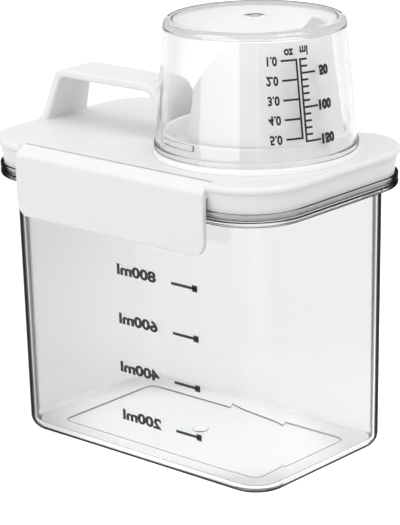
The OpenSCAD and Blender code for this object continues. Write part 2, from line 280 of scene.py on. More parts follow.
class DispenserPrint(bpy.types.PropertyGroup):
    """Sizes of the printed volume scales."""

    mirrored: BoolProperty(name="Mirrored", description="Print the scales as in a mirror image", default=True)
    film: size("Film", "Thickness of the ink", 0.04)
    box_height: size("Box lettering", "Height of the capitals on the box", 4.1)
    box_stretch: factor("Box stretch", "How much wider the box lettering is drawn", 1.44)
    box_line: size("Box line", "Thickness of the bars on the box", 1.1)
    box_knob: size("Box knob", "Size of the square at the end of each bar", 2.6)
    box_step: size("Box step", "Height between two marks on the box", 20.0)
    box_first: size("Box first mark", "Height of the lowest mark on the box", 18.9)
    cup_height: size("Cup lettering", "Height of the figures on the cup", 3.3)
    cup_stretch: factor("Cup stretch", "How much wider the cup lettering is drawn", 0.78)
    ml_stretch: factor("Millilitre stretch", "The same for the bolder millilitre figures", 0.92)
    cup_line: size("Cup line", "Thickness of the lines on the cup", 0.75)
    cup_lean: angle("Cup print lean", "How far the scale on the cup leans off upright", 2.2)
    cup_turn: angle("Cup print place", "Turn from +X to the middle of the print on the cup", -23.8)


class DispenserFinish(bpy.types.PropertyGroup):
    """Colours of the materials."""

    # Partly the plastic's own grey and partly painted shade: darker than the cup's tint so that the box looks
    # grey inside
    clear: colour("Clear box", "Tint of the clear box", "DEDFDF")
    clear_cup: colour("Clear cup", "Tint of the clear cup", "F0F1F1")
    # Painted shade: the dark colour laid on where the clear walls are seen edge on
    clear_edge: colour("Clear edge", "Tint of the clear plastic where its walls are seen edge on", "0E0E0E")
    white: colour("White plastic", "Colour of the lid, handle and latches", "EBEBEA")
    # Painted light: the insert's white is lighter than the lid's so that it looks lit through the cup
    insert: colour("Insert", "Colour of the pouring insert", "FAFAF9")
    seal: colour("Silicone", "Colour of the seal", "DDE0E0")
    ink: colour("Ink", "Colour of the printed scales", "060606")
    floor: colour("Floor", "Colour of the studio floor", "BCBCBC")


class DispenserStage(bpy.types.PropertyGroup):
    """Lamps and camera."""

    key: power("Key lamp", "Power of the large lamp above and to the left", 1.2)
    front: power("Front lamp", "Power of the low, wide lamp in front", 1.7)
    brow: power("Brow lamp", "Power of the soft lamp in front and above", 1.2)
    top: power("Top lamp", "Power of the large lamp overhead", 1)
    fill: power("Fill lamp", "Power of the soft lamp above and to the right", 3.6)
    azimuth: angle("Azimuth", "Turn of the camera from the front towards the cup", 41.76)
    elevation: angle("Elevation", "Height of the camera above the horizon", 17.1)
    roll: angle("Roll", "Tilt of the camera about its own line of sight", -1.253)
    eye: FloatVectorProperty(name="Eye", description="Place of the camera", default=(0.5759, -0.6449, 0.3367),
                             subtype="TRANSLATION", unit="LENGTH")
    lens: factor("Lens", "Focal length in millimetres", 155.65)
    shift_x: factor("Shift across", "Sideways shift of the frame", 0.0023)
    shift_y: factor("Shift up", "Upward shift of the frame", 0.0081)


# Shaping helpers
def rounded_path(corners, closed=False):
    """Points along corners given as (x, y, radius), each corner turned into an arc of its radius."""
    path = []
    for index, (x, y, radius) in enumerate(corners):
        here = Vector((x, y))
        is_end = not closed and index in (0, len(corners) - 1)
        if is_end or not radius:
            path.append(here)
            continue
        before = (Vector(corners[index - 1][:2]) - here).normalized()
        after = (Vector(corners[(index + 1) % len(corners)][:2]) - here).normalized()
        half = before.angle(after) / 2
        middle = here + (before + after).normalized() * radius / math.sin(half)
        start = here + before * radius / math.tan(half) - middle
        turn = math.copysign(HALF_TURN - 2 * half, before.y * after.x - before.x * after.y)
        for step in range(ARC_STEPS + 1):
            path.append(middle + Matrix.Rotation(turn * step / ARC_STEPS, 2) @ start)
    return path


def plan_at(out):
    """Half length, half width and corner radius of the plan that lies so far out from the top of the box."""
    sizes = bpy.context.scene.dispenser_box
    spread = (sizes.rim_corner - sizes.corner) / sizes.rim_out
    radius = max(sizes.corner + (out * spread if out > 0 else out), LEAST_CORNER)
    return BOX_HIGH.x - sizes.rim_out + out, BOX_HIGH.y - sizes.rim_out + out, radius


def plan_point(way, out):
    """The point in one direction of a plan, or of the plan that lies so far out."""
    half_length, half_width, radius = out if isinstance(out, tuple) else plan_at(out)
    return Vector((math.copysign(half_length - radius, way.x) + way.x * radius,
                   math.copysign(half_width - radius, way.y) + way.y * radius))


def place_ring(ring, way, out, height):
    """Moves a ring of points to a plan, or to the plan that lies so far out, at a height."""
    for vert in ring:
        vert.co = (*plan_point(vert[way], out), height)


def start_ring(steps, capped):
    """A bmesh with a ring of points, and the layer that keeps each point's direction from its corner."""
    bm = bmesh.new()
    way = bm.verts.layers.float_vector.new("way")
    bmesh.ops.create_circle(bm, cap_ends=capped, segments=4 * (steps + 1), radius=1)
    ring = sorted(bm.verts, key=lambda vert: math.atan2(vert.co.y, vert.co.x) % math.tau)
    for index, vert in enumerate(ring):
        quarter, step = divmod(index, steps + 1)
        turn = quarter * RIGHT_ANGLE + LEAST_TURN + (RIGHT_ANGLE - 2 * LEAST_TURN) * step / steps
        vert[way] = (math.cos(turn), math.sin(turn), 0)
    return bm, way, ring


def extrude_ring(bm, edges):
    """Extrudes a ring of edges once and returns the new points and edges."""
    made = bmesh.ops.extrude_edge_only(bm, edges=edges)["geom"]
    ring = [item for item in made if isinstance(item, bmesh.types.BMVert)]
    fresh = set(ring)
    lines = [item for item in made if isinstance(item, bmesh.types.BMEdge) and fresh.issuperset(item.verts)]
    return ring, lines


def sweep_round_box(path, closed=False):
    """Sweeps a path of (distance out, height) round the plan of the box, as a shell with its ends shut."""
    bm, way, ring = start_ring(CORNER_STEPS, not closed)
    place_ring(ring, way, *path[0])
    first = edges = list(bm.edges)
    for out, height in path[1:]:
        ring, edges = extrude_ring(bm, edges)
        place_ring(ring, way, out, height)
    if closed:
        bmesh.ops.bridge_loops(bm, edges=first + edges)
    else:
        bmesh.ops.contextual_create(bm, geom=edges)
    bmesh.ops.recalc_face_normals(bm, faces=bm.faces)
    return bm


def lathe(path, axis_x, closed=False):
    """Turns a path of (radius, height) about an upright axis."""
    bm = bmesh.new()
    verts = [bm.verts.new((axis_x + radius, 0, height)) for radius, height in path]
    pairs = list(zip(verts, verts[1:]))
    if closed:
        pairs.append((verts[-1], verts[0]))
    edges = [bm.edges.new(pair) for pair in pairs]
    bmesh.ops.spin(bm, geom=verts + edges, cent=(axis_x, 0, 0), axis=(0, 0, 1), angle=math.tau,
                   steps=LATHE_STEPS, use_merge=True)
    bmesh.ops.remove_doubles(bm, verts=bm.verts, dist=MERGE)
    bmesh.ops.recalc_face_normals(bm, faces=bm.faces)
    return bm


def slice_off(bm, place, outward):
    """Cuts away what lies outward of a plane and returns the edges of the cut."""
    made = bmesh.ops.bisect_plane(bm, geom=bm.verts[:] + bm.edges[:] + bm.faces[:], plane_co=place,
                                  plane_no=outward, clear_outer=True)
    return [item for item in made["geom_cut"] if isinstance(item, bmesh.types.BMEdge)]


def prism(outline, depth):
    """A prism along X of a closed outline of (y, z), with its middle at x = 0."""
    bm = bmesh.new()
    face = bm.faces.new([bm.verts.new((-depth / 2, y, z)) for y, z in outline])
    made = bmesh.ops.extrude_face_region(bm, geom=[face])["geom"]
    moved = [item for item in made if isinstance(item, bmesh.types.BMVert)]
    bmesh.ops.translate(bm, verts=moved, vec=(depth, 0, 0))
    bmesh.ops.recalc_face_normals(bm, faces=bm.faces)
    return bm


def upright_cylinder(x, low, high, radius):
    """A plain upright cylinder, for a cut or a tube."""
    bm = bmesh.new()
    bmesh.ops.create_cone(bm, cap_ends=True, segments=LATHE_STEPS, radius1=radius, radius2=radius,
                          depth=high - low, matrix=Matrix.Translation((x, 0, (low + high) / 2)))
    return bm


def level_cylinder(y, z, length, radius, segments):
    """A cylinder along X, for a pin or a channel."""
    bm = bmesh.new()
    place = Matrix.Translation((0, y, z)) @ Matrix.Rotation(RIGHT_ANGLE, 4, "Y")
    bmesh.ops.create_cone(bm, cap_ends=True, segments=segments, radius1=radius, radius2=radius, depth=length,
                          matrix=place)
    return bm


def block(low, high):
    """A box between two corners, for a cut."""
    bm = bmesh.new()
    low = Vector(low)
    high = Vector(high)
    scale = Matrix.Diagonal((*(high - low), 1))
    bmesh.ops.create_cube(bm, size=1, matrix=Matrix.Translation((low + high) / 2) @ scale)
    return bm


def make_object(name, bm):
    """A mesh object at the origin from a bmesh."""
    mesh = bpy.data.meshes.new(name)
    bm.to_mesh(mesh)
    bm.free()
    piece = bpy.data.objects.new(name, mesh)
    bpy.context.scene.collection.objects.link(piece)
    return piece


def combine(piece, bm, operation="DIFFERENCE"):
    """Cuts a solid from a piece, joins it on or keeps only what both hold."""
    other = make_object("tool", bm)
    change = piece.modifiers.new("combine", "BOOLEAN")
    change.object = other
    change.operation = operation
    change.solver = "EXACT"
    bpy.context.view_layer.update()
    shaped = bpy.data.meshes.new_from_object(piece.evaluated_get(bpy.context.evaluated_depsgraph_get()))
    piece.modifiers.remove(change)
    before = piece.data
    name = before.name
    piece.data = shaped
    bpy.data.meshes.remove(before)
    shaped.name = name
    tool = other.data
    bpy.data.objects.remove(other)
    bpy.data.meshes.remove(tool)


def settle(piece, finish, body, slot, *nodes):
    """Gives a piece its finish and even shading, ties it to its body and hides the CAD nodes that it stands
    for; the slot is not used.
    """
    piece.data.materials.clear()
    piece.data.materials.append(finish)
    piece.data.shade_smooth()
    piece.data.set_sharp_from_angle(angle=SHARP)
    even = piece.modifiers.new("even_shading", "WEIGHTED_NORMAL")
    even.keep_sharp = True
    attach(piece, body)
    if nodes:
        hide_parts(*nodes)


def mark_turned(piece, share_at):
    """Notes how much painted edge shade a clear piece takes at each point, from its place, plan direction and
    normal.
    """
    mesh = piece.data
    mesh.attributes.new(EDGE_SHADE_ATTRIBUTE, "FLOAT", "POINT")
    shares = mesh.attributes[EDGE_SHADE_ATTRIBUTE]
    ways = mesh.attributes.get("way")
    for index, vert in enumerate(mesh.vertices):
        way = ways.data[index].vector if ways else None
        shares.data[index].value = share_at(vert.co, way, abs(vert.normal.z))


def rise(value, low, high):
    """How far a value has come from low to high, as a share."""
    return min(max((value - low) / (high - low), 0), 1)


def soften(piece, width):
    """Rounds the sharp edges of a piece by a narrow bevel."""
    bevel = piece.modifiers.new("soft_edges", "BEVEL")
    bevel.width = width
    bevel.segments = BEVEL_STEPS
    bevel.limit_method = "ANGLE"
    bevel.angle_limit = SHARP


# Materials
def set_sockets(tree, node, inputs):
    """Sets the sockets of a node, and links those that are given another node's output."""
    for name, value in inputs.items():
        if isinstance(value, bpy.types.NodeSocket):
            tree.links.new(value, node.inputs[name])
        else:
            node.inputs[name].default_value = value


def add_node(tree, kind, settings=None, inputs=None):
    """Adds a shader node of a kind, such as Bump, with its properties and its sockets."""
    node = tree.nodes.new(f"ShaderNode{kind}")
    for name, value in (settings or {}).items():
        setattr(node, name, value)
    set_sockets(tree, node, inputs or {})
    return node


def per_metre(millimetres):
    """The scale of a pattern that repeats at a size in millimetres."""
    return 1 / (millimetres * MM)


def start_material(name, patch, detail, low, high):
    """A new material whose roughness wanders from low to high in patches of a size in millimetres.

    It comes with its tree, its shader, the Object coordinates of the piece and the patches."""
    material = bpy.data.materials.new(name)
    material.use_nodes = True
    tree = material.node_tree
    shader = tree.nodes["Principled BSDF"]
    place = add_node(tree, "TexCoord").outputs["Object"]
    noise = add_node(tree, "TexNoise", inputs={
        "Vector": place, "Scale": per_metre(patch), "Detail": detail})
    rough = add_node(tree, "MapRange", inputs={
        "Value": noise.outputs["Fac"], "To Min": low, "To Max": high})
    set_sockets(tree, shader, {"Roughness": rough.outputs["Result"]})
    return material, tree, shader, place, noise.outputs["Fac"]


def clear_moulded(name, tint, edge):
    """Clear plastic from a polished mould: glossy, with a faint flow wave in the walls.

    Where a line of sight grazes a rounded wall, painted shade darkens the plastic, and its index falls
    so that it loses its gloss there. The piece's own edge shade attribute says how much painted shade each
    point takes."""
    material, tree, shader, place, _ = start_material(name, patch=6, detail=3, low=0.004, high=0.03)
    wave = add_node(tree, "TexNoise", inputs={"Vector": place, "Scale": per_metre(34), "Detail": 1.0})
    bump = add_node(tree, "Bump", inputs={
        "Strength": 0.35, "Distance": 0.08 * MM, "Height": wave.outputs["Fac"]})
    grazing = add_node(tree, "LayerWeight", inputs={"Blend": 0.5})
    turned = add_node(tree, "Attribute", {"attribute_name": EDGE_SHADE_ATTRIBUTE})
    share = add_node(tree, "Math", {"operation": "MULTIPLY"}, {
        0: grazing.outputs["Facing"], 1: turned.outputs["Fac"]})
    bend = add_node(tree, "MapRange", inputs={
        "Value": share.outputs[0], "From Min": BEND_FROM, "From Max": BEND_TO,
        "To Min": CLEAR_IOR, "To Max": EDGE_IOR})
    # Painted shade: the colour goes from the clear tint to the painted edge shade as the graze grows, and the
    # index falls so that the darkened edge shows no reflection
    ramp = add_node(tree, "ValToRGB", inputs={"Fac": share.outputs[0]})
    stops = ramp.color_ramp.elements
    stops[0].position = CLEAR_UNTIL
    stops[0].color = (*tint, 1)
    stops[1].color = (*[EDGE_SHADE_LAST * channel for channel in edge], 1)
    for position, gain in EDGE_SHADE_STOPS:
        stop = stops.new(position)
        stop.color = (*[min(gain * channel, 1) for channel in edge], 1)
    # The export drops the link and keeps the plain value
    shader.inputs["IOR"].default_value = CLEAR_IOR
    set_sockets(tree, shader, {
        "Transmission Weight": 1, "Base Color": ramp.outputs["Color"], "IOR": bend.outputs["Result"],
        "Normal": bump.outputs["Normal"]})
    return material


def clear_moulded_san(finish):
    """Styrene acrylonitrile for the box: hard and clear, its grey partly that of a thick wall and partly
    painted shade.
    """
    return clear_moulded("clear_moulded_san", finish.clear, finish.clear_edge)


def clear_moulded_polystyrene(finish):
    """Polystyrene for the cup: thin, hard and nearly colourless."""
    return clear_moulded("clear_moulded_polystyrene", finish.clear_cup, finish.clear_edge)


def white_moulded(name, white):
    """White plastic from a satin mould: a fine grain and slightly uneven gloss."""
    material, tree, shader, place, cloud = start_material(name, patch=18, detail=2, low=0.3, high=0.42)
    # The real grain is about 0.1 mm and is drawn coarser so that it shows
    grain = add_node(tree, "TexNoise", inputs={"Vector": place, "Scale": per_metre(0.7), "Detail": 2.0})
    shade = add_node(tree, "MapRange", inputs={"Value": cloud, "To Min": 0.97, "To Max": 1.0})
    tint = add_node(tree, "Mix", {"data_type": "RGBA", "blend_type": "MULTIPLY"}, {
        "Factor": 1.0, MIX_A: (*white, 1), MIX_B: shade.outputs["Result"]})
    bump = add_node(tree, "Bump", inputs={
        "Strength": 0.12, "Distance": 0.05 * MM, "Height": grain.outputs["Fac"]})
    set_sockets(tree, shader, {
        "Base Color": tint.outputs[MIX_RESULT], "IOR": 1.49, "Normal": bump.outputs["Normal"]})
    return material


def white_moulded_polypropylene(finish):
    """Polypropylene for the lid, handle and latches: stiff and soft white."""
    return white_moulded("white_moulded_polypropylene", finish.white)


def white_moulded_polyethylene(finish):
    """Polyethylene for the pouring insert: softer, and painted a lighter white than the lid so that it looks
    lit through the cup.
    """
    return white_moulded("white_moulded_polyethylene", finish.insert)


def moulded_silicone(finish):
    """Moulded silicone rubber: pale, matt and a little mottled."""
    material, tree, shader, _, mottle = start_material(
        "moulded_silicone", patch=2.5, detail=3, low=0.5, high=0.66)
    bump = add_node(tree, "Bump", inputs={
        "Strength": 0.2, "Distance": 0.05 * MM, "Height": mottle})
    set_sockets(tree, shader, {
        "Base Color": (*finish.seal, 1), "IOR": 1.41, "Normal": bump.outputs["Normal"]})
    return material


def pad_printed_ink(finish):
    """Black ink laid on by a soft pad: nearly opaque, with a slightly uneven film."""
    material, tree, shader, _, film = start_material(
        "pad_printed_ink", patch=0.8, detail=2, low=0.35, high=0.6)
    thin_gain = 2
    ramp = add_node(tree, "ValToRGB", inputs={"Fac": film})
    ramp.color_ramp.elements[0].color = (*finish.ink, 1)
    ramp.color_ramp.elements[1].color = (*[thin_gain * share for share in finish.ink], 1)
    set_sockets(tree, shader, {"Base Color": ramp.outputs["Color"]})
    return material


def opal_acrylic_light_table(finish):
    """Glowing studio floor: an even glow, with a painted band of light at its right and a painted pool of
    light under the box.
    """
    material, tree, shader, place, _ = start_material(
        "opal_acrylic_light_table", patch=60, detail=2, low=0.16, high=0.2)
    along = add_node(tree, "VectorMath", {"operation": "DOT_PRODUCT"}, {0: place, 1: ACROSS_PICTURE})
    # Painted light: a band of extra glow towards the floor's right
    climb = add_node(tree, "MapRange", {"interpolation_type": "SMOOTHSTEP"}, {
        "Value": along.outputs["Value"], "From Min": -0.12, "From Max": 0.02,
        "To Min": 0.0, "To Max": FLOOR_PAINTED_BAND})
    fall = add_node(tree, "MapRange", {"interpolation_type": "SMOOTHSTEP"}, {
        "Value": along.outputs["Value"], "From Min": 0.09, "From Max": 0.25, "To Min": 1.0, "To Max": 0.0})
    footing = add_node(tree, "VectorMath", {"operation": "DIVIDE"}, {
        0: place, 1: (BOX_HIGH.x, BOX_HIGH.y, 1)})
    away = add_node(tree, "VectorMath", {"operation": "LENGTH"}, {0: footing.outputs["Vector"]})
    # Painted light: a pool of extra glow under the box
    painted_pool = add_node(tree, "MapRange", {"interpolation_type": "SMOOTHSTEP"}, {
        "Value": away.outputs["Value"], "From Min": 0.6, "From Max": 1.15,
        "To Min": FLOOR_PAINTED_POOL, "To Max": FLOOR_GLOW})
    band = add_node(tree, "Math", {"operation": "MULTIPLY_ADD"}, {
        0: climb.outputs["Result"], 1: fall.outputs["Result"], 2: FLOOR_GLOW})
    glow = add_node(tree, "Math", {"operation": "MAXIMUM"}, {
        0: band.outputs[0], 1: painted_pool.outputs["Result"]})
    set_sockets(tree, shader, {
        "Base Color": (*finish.floor, 1), "IOR": 1.35,
        "Emission Color": (1, 1, 1, 1), "Emission Strength": glow.outputs[0]})
    return material


def finish_of(make):
    """The material that a function makes, made once."""
    return bpy.data.materials.get(make.__name__) or make(bpy.context.scene.dispenser_finish)


# Heights and radii shared by several pieces
def box_top():
    """Height of the underside of the rim."""
    return BOX_HIGH.z - bpy.context.scene.dispenser_box.rim_height


def lid_top():
    """Height of the lid's top, which the seat stands on."""
    cup_gap = 0.1 * MM
    return CUP_LOW.z - cup_gap - bpy.context.scene.dispenser_spout.seat


def cup_wall(height):
    """Outer radius of the cup at a height."""
    cup = bpy.context.scene.dispenser_cup
    foot = CUP_LOW.z + cup.flange
    return cup.mouth - (height - foot) * (cup.mouth - cup.crown) / (CUP_HIGH.z - foot)


def box_wall(height):
    """Distance of the front wall's outside from the middle of the box at a height."""
    sizes = bpy.context.scene.dispenser_box
    return BOX_HIGH.y - sizes.rim_out - sizes.lean * (1 - height / box_top())


# Pieces
class DISPENSER_OT_clear_box(bpy.types.Operator):
    """Makes the clear box with its round foot, stepped rim and gate mark"""

    bl_idname = "dispenser.clear_box"
    bl_label = "Clear box"

    def execute(self, context):
        sizes = context.scene.dispenser_box
        top = box_top()
        edge = sizes.edge
        recess = -sizes.lean - sizes.foot_ring
        rim = sizes.rim_out
        groove_low = top + (sizes.rim_height - sizes.groove_height) / 2
        groove_high = groove_low + sizes.groove_height
        ledge = top + sizes.wall
        inside = -sizes.lean - sizes.wall
        path = rounded_path([
            (recess - edge, sizes.recess, 0),
            (recess, sizes.recess, 0),
            (recess, sizes.recess - edge, 0),
            (recess, BOX_LOW.z, edge / 2),
            (-sizes.lean, BOX_LOW.z, sizes.foot),
            (0, top, 2 * edge),
            (rim, top, 2 * edge),
            (rim, groove_low, edge),
            (rim - sizes.groove, groove_low, edge / 2),
            (rim - sizes.groove, groove_high, edge / 2),
            (rim, groove_high, edge),
            (rim, BOX_HIGH.z, edge),
            (rim - sizes.rim_wall, BOX_HIGH.z, edge),
            (rim - sizes.rim_wall, ledge, edge),
            (-sizes.wall, ledge, edge),
            (inside, sizes.floor, sizes.foot - sizes.wall),
            (recess, sizes.floor, 0),
        ])
        gate_low = sizes.recess - sizes.gate_height
        gate = rounded_path([
            (OVER, gate_low, 0),
            (sizes.gate, gate_low, sizes.gate_height / 2),
            (sizes.gate, sizes.recess, sizes.gate_height / 2),
            (2 * sizes.gate, sizes.recess, 0),
        ])
        rings = [((radius, radius, radius), height) for radius, height in gate]
        piece = make_object("clear_box", sweep_round_box(rings + path))
        mark_turned(piece, self.roundness)
        settle(piece, finish_of(clear_moulded_san), "box", "clear_plastic", "container")
        piece.visible_shadow = False
        return {"FINISHED"}

    def roundness(self, place, way, level):
        """Painted edge shade: high at the corners, foot and rim, most at the recess's step, none on the flat
        walls and floor.
        """
        sizes = bpy.context.scene.dispenser_box
        # Painted shade: the recess's step under the floor takes the most, which paints a dark line round it
        step = Vector((*plan_point(way, -sizes.lean - sizes.foot_ring), sizes.recess))
        if (place - step).length < MERGE:
            return STEP_SHADE_SHARE
        if place.z > box_top() + sizes.edge:
            return RIM_SHARE
        corner = CORNER_SHARE * rise(2 * abs(way.x * way.y), 0, CORNER_TURN)
        foot = rise(level, *FOOT_LEVELS) * rise(level, *FLOOR_LEVELS)
        return max(corner * rise(level, *WALL_LEVELS), foot)


class DISPENSER_OT_lid(bpy.types.Operator):
    """Makes the lid with its rounded edge, skirt, plug and hinge channels"""

    bl_idname = "dispenser.lid"
    bl_label = "Lid"

    def execute(self, context):
        sizes = context.scene.dispenser_lid
        box = context.scene.dispenser_box
        latch = context.scene.dispenser_latch
        spout = context.scene.dispenser_spout
        top = lid_top()
        edge = sizes.edge
        lip = box.rim_out + LID_HIGH.x - BOX_HIGH.x
        skirt = box.rim_out - box.rim_wall - sizes.skirt_gap
        skirt_foot = SEAL_LOW.z + sizes.seal_proud
        plug = -box.wall - sizes.plug_gap
        roof = top - sizes.top
        middle = plug - sizes.plug - box.foot
        round_edge = sizes.lip * LIP_ROUND
        path = rounded_path([
            (middle, top, 0),
            (lip, top, round_edge),
            (lip, top - sizes.lip, round_edge),
            (lip - sizes.lip_over, top - sizes.lip, edge / 2),
            (skirt, skirt_foot, edge),
            (skirt - sizes.skirt, skirt_foot, edge),
            (skirt - sizes.skirt, SEAL_HIGH.z, edge / 2),
            (plug, SEAL_HIGH.z, edge / 2),
            (plug, LID_LOW.z, edge),
            (plug - sizes.plug, LID_LOW.z, edge),
            (plug - sizes.plug, roof, 2 * edge),
            (middle, roof, 0),
        ])
        piece = make_object("lid_moulding", sweep_round_box(path))
        spout_x = CUP_X + spout.offset
        combine(piece, upright_cylinder(spout_x, roof - OVER, top + OVER, spout.tube + spout.tube_gap))
        length = LATCH_HIGH.x - LATCH_LOW.x - 2 * latch.pin_length + 2 * latch.barrel_gap
        room = latch.barrel + latch.barrel_gap
        hole = length + 2 * latch.pin_length
        # An open latch's shoulder leans over the lid, so the lid's edge leans away from it there
        sloped = room * Vector((-math.cos(latch.slope), math.sin(latch.slope)))
        above = top + OVER - HINGE.z
        brink = sloped.x + (above - sloped.y) * math.tan(latch.slope)
        lead = [(0, 0), sloped, (brink, above), (0, above)]
        for side in (-1, 1):
            y = -side * HINGE.y
            combine(piece, level_cylinder(y, HINGE.z, length, room, LATHE_STEPS))
            combine(piece, level_cylinder(y, HINGE.z, hole, latch.pin + latch.pin_gap, HOLE_STEPS))
            outside = side * (LID_HIGH.y + OVER)
            low = (-length / 2, min(y, outside), HINGE.z - room)
            high = (length / 2, max(y, outside), top + OVER)
            combine(piece, block(low, high))
            chamfer = [(y + side * out, HINGE.z + up) for out, up in lead]
            combine(piece, prism(chamfer, length))
        settle(piece, finish_of(white_moulded_polypropylene), "box", "white_plastic", "lid")
        return {"FINISHED"}


class DISPENSER_OT_handle(bpy.types.Operator):
    """Makes the strap handle with its leaning outer post and its fillets"""

    bl_idname = "dispenser.handle"
    bl_label = "Handle"

    def execute(self, context):
        sizes = context.scene.dispenser_lid
        top = lid_top()
        half = sizes.handle / 2
        foot = top - sizes.top / 2
        bar = LID_HIGH.z - half
        slope = math.atan2(sizes.handle_lean, LID_HIGH.z - top)
        lean = math.tan(slope)
        outer = LID_LOW.x + sizes.handle_end + half / math.cos(slope)
        inner = CUP_LOW.x - sizes.handle_gap - half
        lifts = [sizes.flare * step / ARC_STEPS for step in range(ARC_STEPS + 1)]
        corners = [(outer - (top - foot) * lean, foot, 0)]
        corners += [(outer + lift * lean, top + lift, 0) for lift in lifts]
        corners += [(outer + (bar - top) * lean, bar, sizes.bend_out), (inner, bar, sizes.bend_in)]
        corners += [(inner, top + lift, 0) for lift in reversed(lifts)]
        corners += [(inner, foot, 0)]
        stations = rounded_path(corners)
        edge = sizes.strap_edge
        through = half - edge
        reach = sizes.bend_out * math.tan((RIGHT_ANGLE - slope) / 2)
        post_top = bar - reach * math.cos(slope)
        widening = (sizes.post_width - sizes.handle_width) / 2 / (post_top - foot)
        bm, way, ring = start_ring(ARC_STEPS, True)
        edges = list(bm.edges)
        last = len(stations) - 1
        for index, station in enumerate(stations):
            if index:
                ring, edges = extrude_ring(bm, edges)
            along = (stations[min(index + 1, last)] - stations[max(index - 1, 0)]).normalized()
            across = sizes.handle_width / 2 - edge
            if index < last / 2:
                across += widening * max(post_top - station.y, 0)
            rest = max(sizes.flare - max(station.y - top, 0), 0)
            grow = sizes.flare - math.sqrt(sizes.flare ** 2 - rest ** 2)
            for vert in ring:
                turn = vert[way]
                side = math.copysign(across, turn.x) + turn.x * (edge + grow)
                lift = math.copysign(through, turn.y) + turn.y * (edge + grow)
                vert.co = (station.x - along.y * lift, side, station.y + along.x * lift)
        bmesh.ops.contextual_create(bm, geom=edges)
        bmesh.ops.recalc_face_normals(bm, faces=bm.faces)
        piece = make_object("lid_handle", bm)
        settle(piece, finish_of(white_moulded_polypropylene), "box", "white_plastic", "lid")
        return {"FINISHED"}


class DISPENSER_OT_seal(bpy.types.Operator):
    """Makes the silicone seal under the lid"""

    bl_idname = "dispenser.seal"
    bl_label = "Seal"

    def execute(self, context):
        box = context.scene.dispenser_box
        lid = context.scene.dispenser_lid
        out = SEAL_HIGH.x - BOX_HIGH.x + box.rim_out
        inside = -box.wall - lid.plug_gap + context.scene.dispenser_spout.tube_gap
        path = rounded_path([
            (inside, SEAL_LOW.z, lid.edge),
            (out, SEAL_LOW.z, lid.edge),
            (out, SEAL_HIGH.z, lid.edge),
            (inside, SEAL_HIGH.z, lid.edge),
        ], closed=True)
        piece = make_object("silicone_seal", sweep_round_box(path, closed=True))
        settle(piece, finish_of(moulded_silicone), "box", "silicone", "lid_seal")
        return {"FINISHED"}


class DISPENSER_OT_spout(bpy.types.Operator):
    """Makes the pouring insert: seat, neck, slant-cut spout and the tube that plugs into the lid"""

    bl_idname = "dispenser.spout"
    bl_label = "Spout"

    def execute(self, context):
        sizes = context.scene.dispenser_spout
        edge = sizes.edge
        low = lid_top()
        deck = low + sizes.seat
        seat_out = CUP_HIGH.x - CUP_X
        spout_x = CUP_X + sizes.offset
        seat = rounded_path([
            (0, low, 0),
            (seat_out, low, edge / 2),
            (seat_out, deck, edge),
            (sizes.neck, deck, edge / 2),
            (sizes.neck, deck + sizes.neck_height, edge),
            (sizes.neck - sizes.wall, deck + sizes.neck_height, edge),
            (sizes.neck - sizes.wall, deck, edge),
            (0, deck, 0),
        ])
        piece = make_object("spout_insert", lathe(seat, CUP_X))
        root = deck - sizes.seat / 2
        spout = [
            (sizes.foot - sizes.wall, root),
            (sizes.foot, root),
            (sizes.tip, SPOUT_HIGH.z),
            (sizes.tip - sizes.wall, SPOUT_HIGH.z),
        ]
        wall = lathe(spout, spout_x, closed=True)
        start = (spout_x + sizes.slant_from, 0, SPOUT_HIGH.z)
        loose = slice_off(wall, start, (-math.sin(sizes.slant), 0, math.cos(sizes.slant)))
        bmesh.ops.contextual_create(wall, geom=loose)
        bmesh.ops.recalc_face_normals(wall, faces=wall.faces)
        combine(piece, wall, "UNION")
        combine(piece, upright_cylinder(spout_x, SPOUT_LOW.z, low + sizes.seat / 2, sizes.tube), "UNION")
        bore = sizes.tube - sizes.tube_wall
        combine(piece, upright_cylinder(spout_x, SPOUT_LOW.z - OVER, deck + OVER, bore))
        soften(piece, edge / 2)
        settle(piece, finish_of(white_moulded_polyethylene), "box", "white_plastic", "pour_spout")
        return {"FINISHED"}


